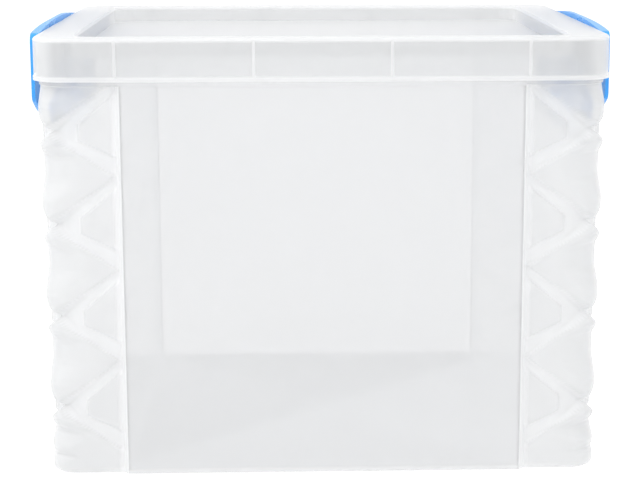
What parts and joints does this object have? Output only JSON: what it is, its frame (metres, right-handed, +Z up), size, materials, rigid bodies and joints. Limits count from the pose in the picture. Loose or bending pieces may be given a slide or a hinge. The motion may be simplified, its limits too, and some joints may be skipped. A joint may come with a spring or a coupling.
{
  "type": "latching storage box",
  "caption": "Tall clear plastic storage box with a sunk lid and a hinged blue grip latch at each end; wavy grooves run up its corners.",
  "frame": {"origin": "middle of the underside, at floor level", "axes": "+X along the width, from the left latch to the right one, +Y to the back, +Z up"},
  "size_m": [0.362, 0.305, 0.2748],
  "materials": {
    "clear_tub": "clear polypropylene, slightly frosted",
    "clear_lid": "clear polypropylene, slightly frosted",
    "blue_latch": "glossy blue moulded plastic"
  },
  "bodies": {
    "tub": {"tub": "clear_tub"},
    "lid": {"lid": "clear_lid"},
    "left_latch": {"left_latch": "blue_latch"},
    "right_latch": {"right_latch": "blue_latch"}
  },
  "joints": [
    {"name": "lid_lift", "type": "slide", "parent": "tub", "child": "lid", "axis": [0, 0, 1], "range_m": [0, 0.12]},
    {"name": "left_latch_hinge", "type": "hinge", "parent": "tub", "child": "left_latch", "pos_m": [-0.173, 0, 0.214], "axis": [0, -1, 0], "range_deg": [0, 120]},
    {"name": "right_latch_hinge", "type": "hinge", "parent": "tub", "child": "right_latch", "pos_m": [0.173, 0, 0.214], "axis": [0, 1, 0], "range_deg": [0, 120]}
  ]
}
